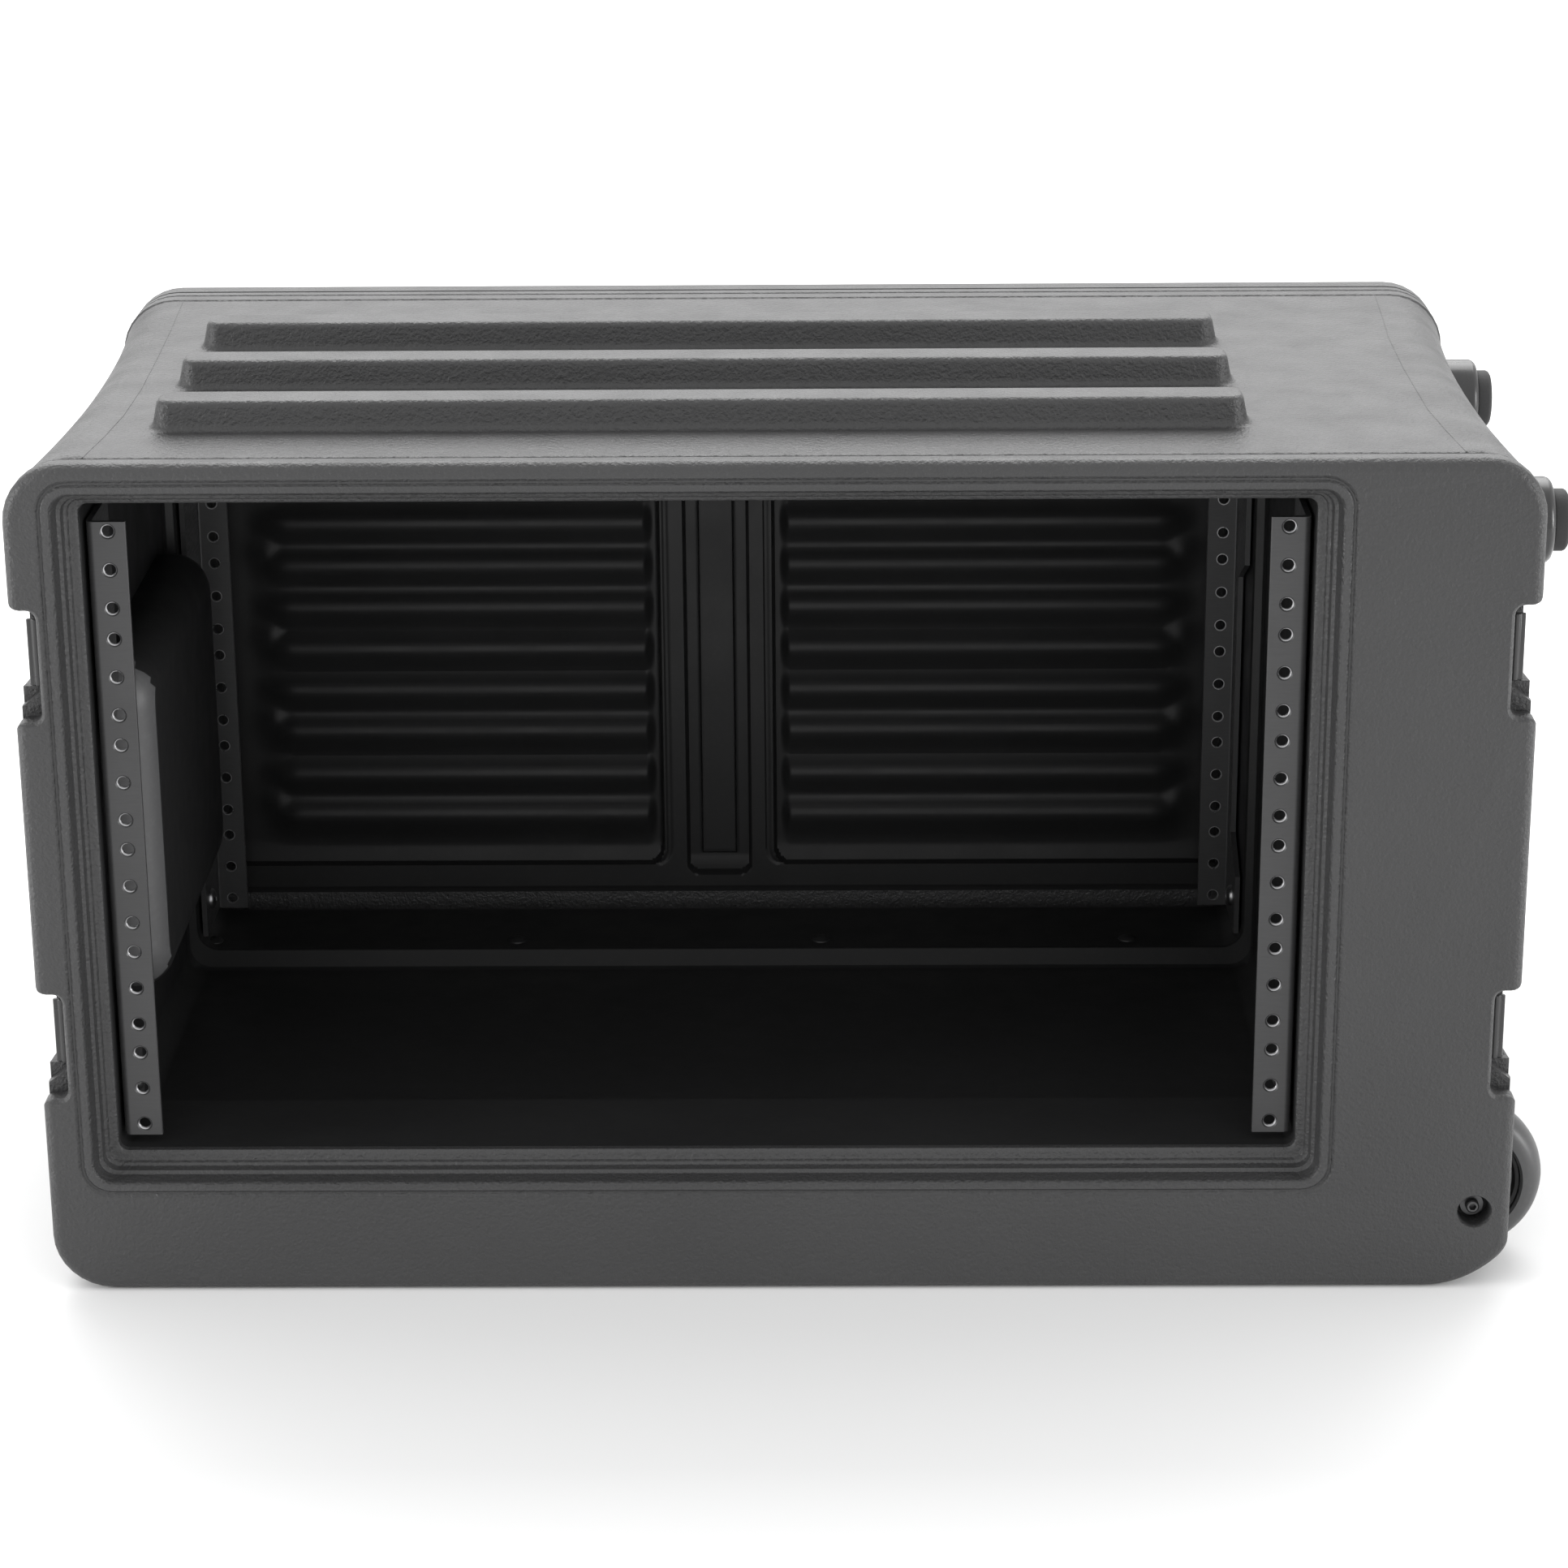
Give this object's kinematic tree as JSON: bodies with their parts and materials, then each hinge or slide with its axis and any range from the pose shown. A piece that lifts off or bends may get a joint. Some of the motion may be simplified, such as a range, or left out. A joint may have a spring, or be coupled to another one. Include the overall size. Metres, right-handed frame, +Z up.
{
  "type": "equipment rack case",
  "caption": "Moulded six-unit equipment rack case on wheels, with steel rack rails front and rear, a latched rear lid, a pull-out tow handle and a folding carrying handle.",
  "frame": {"origin": "on the ground, under the middle of the box that holds the whole case", "axes": "+Z up, -Y out of the open front of the rack bay, +X towards the side with the wheels"},
  "size_m": [0.6194, 0.333, 0.3645],
  "materials": {
    "shell": "fine pebble texture",
    "moulding": "smooth moulded",
    "rubber": "satin",
    "tyre": "smooth polyurethane",
    "rail_steel": "satin black",
    "zinc": "zinc plated",
    "aluminium": "anodised"
  },
  "bodies": {
    "case": {"body_shell": "shell", "rear_lid": "shell", "rear_lid_gasket": "rubber", "rack_rail_front_left": "rail_steel", "rail_bolt_front_left_upper": "zinc", "rail_bolt_front_left_lower": "zinc", "rack_rail_front_right": "rail_steel", "rail_bolt_front_right_upper": "zinc", "rail_bolt_front_right_lower": "zinc", "rack_rail_rear_left": "rail_steel", "rail_bolt_rear_left_upper": "zinc", "rail_bolt_rear_left_lower": "zinc", "rack_rail_rear_right": "rail_steel", "rail_bolt_rear_right_upper": "zinc", "rail_bolt_rear_right_lower": "zinc", "keeper_front_left_upper": "moulding", "keeper_rear_left_upper": "moulding", "latch_base_left_upper": "moulding", "keeper_front_left_lower": "moulding", "keeper_rear_left_lower": "moulding", "latch_base_left_lower": "moulding", "keeper_front_right_upper": "moulding", "keeper_rear_right_upper": "moulding", "latch_base_right_upper": "moulding", "keeper_front_right_lower": "moulding", "keeper_rear_right_lower": "moulding", "latch_base_right_lower": "moulding", "wheel_front_axle_bolt": "zinc", "wheel_front_axle_nut": "zinc", "foot_base_front": "moulding", "foot_cap_front": "rubber", "tow_bush_front": "moulding", "carry_bracket_front": "moulding", "wheel_rear_axle_bolt": "zinc", "wheel_rear_axle_nut": "zinc", "foot_base_rear": "moulding", "foot_cap_rear": "rubber", "tow_bush_rear": "moulding", "carry_bracket_rear": "moulding"},
    "wheel_front": {"wheel_front_tyre": "tyre", "wheel_front_hub": "moulding", "wheel_front_bearing_outer": "zinc", "wheel_front_bearing_inner": "zinc"},
    "wheel_rear": {"wheel_rear_tyre": "tyre", "wheel_rear_hub": "moulding", "wheel_rear_bearing_outer": "zinc", "wheel_rear_bearing_inner": "zinc"},
    "lever_left_upper": {"latch_lever_left_upper": "moulding"},
    "hook_left_upper": {"latch_hook_left_upper": "zinc"},
    "lever_left_lower": {"latch_lever_left_lower": "moulding"},
    "hook_left_lower": {"latch_hook_left_lower": "zinc"},
    "lever_right_upper": {"latch_lever_right_upper": "moulding"},
    "hook_right_upper": {"latch_hook_right_upper": "zinc"},
    "lever_right_lower": {"latch_lever_right_lower": "moulding"},
    "hook_right_lower": {"latch_hook_right_lower": "zinc"},
    "tow_handle": {"tow_grip": "moulding", "tow_tube_front": "aluminium", "tow_tube_rear": "aluminium"},
    "carry_handle": {"carry_bail": "zinc", "carry_grip": "rubber"}
  },
  "joints": [
    {"name": "wheel_front_spin", "type": "hinge", "parent": "case", "child": "wheel_front", "pos_m": [0.27625, -0.1265, 0.0345], "axis": [0, 1, 0], "continuous": true},
    {"name": "wheel_rear_spin", "type": "hinge", "parent": "case", "child": "wheel_rear", "pos_m": [0.27625, 0.1005, 0.0345], "axis": [0, 1, 0], "continuous": true},
    {"name": "lever_left_upper_turn", "type": "hinge", "parent": "case", "child": "lever_left_upper", "pos_m": [-0.30425, 0.1485, 0.2705], "axis": [0, 0, 1], "range_deg": [0, 85]},
    {"name": "hook_left_upper_turn", "type": "hinge", "parent": "lever_left_upper", "child": "hook_left_upper", "pos_m": [-0.30355, 0.1545, 0.2705], "axis": [0, 0, 1], "range_deg": [-104, 0]},
    {"name": "lever_left_lower_turn", "type": "hinge", "parent": "case", "child": "lever_left_lower", "pos_m": [-0.30425, 0.1485, 0.1085], "axis": [0, 0, 1], "range_deg": [0, 85]},
    {"name": "hook_left_lower_turn", "type": "hinge", "parent": "lever_left_lower", "child": "hook_left_lower", "pos_m": [-0.30355, 0.1545, 0.1085], "axis": [0, 0, 1], "range_deg": [-104, 0]},
    {"name": "lever_right_upper_turn", "type": "hinge", "parent": "case", "child": "lever_right_upper", "pos_m": [0.28575, 0.1485, 0.2705], "axis": [0, 0, -1], "range_deg": [0, 85]},
    {"name": "hook_right_upper_turn", "type": "hinge", "parent": "lever_right_upper", "child": "hook_right_upper", "pos_m": [0.28505, 0.1545, 0.2705], "axis": [0, 0, -1], "range_deg": [-104, 0]},
    {"name": "lever_right_lower_turn", "type": "hinge", "parent": "case", "child": "lever_right_lower", "pos_m": [0.28575, 0.1485, 0.1085], "axis": [0, 0, -1], "range_deg": [0, 85]},
    {"name": "hook_right_lower_turn", "type": "hinge", "parent": "lever_right_lower", "child": "hook_right_lower", "pos_m": [0.28505, 0.1545, 0.1085], "axis": [0, 0, -1], "range_deg": [-104, 0]},
    {"name": "tow_handle_slide", "type": "slide", "parent": "case", "child": "tow_handle", "axis": [-1, 0, 0], "range_m": [0, 0.4]},
    {"name": "carry_handle_swing", "type": "hinge", "parent": "case", "child": "carry_handle", "pos_m": [-0.29025, -0.016, 0.2175], "axis": [0, 1, 0], "range_deg": [0, 90]}
  ],
  "couplings": [
    {"joint": "hook_left_upper_turn", "follows": "lever_left_upper_turn", "ratio": -1.2},
    {"joint": "hook_left_lower_turn", "follows": "lever_left_lower_turn", "ratio": -1.2},
    {"joint": "hook_right_upper_turn", "follows": "lever_right_upper_turn", "ratio": -1.2},
    {"joint": "hook_right_lower_turn", "follows": "lever_right_lower_turn", "ratio": -1.2}
  ]
}
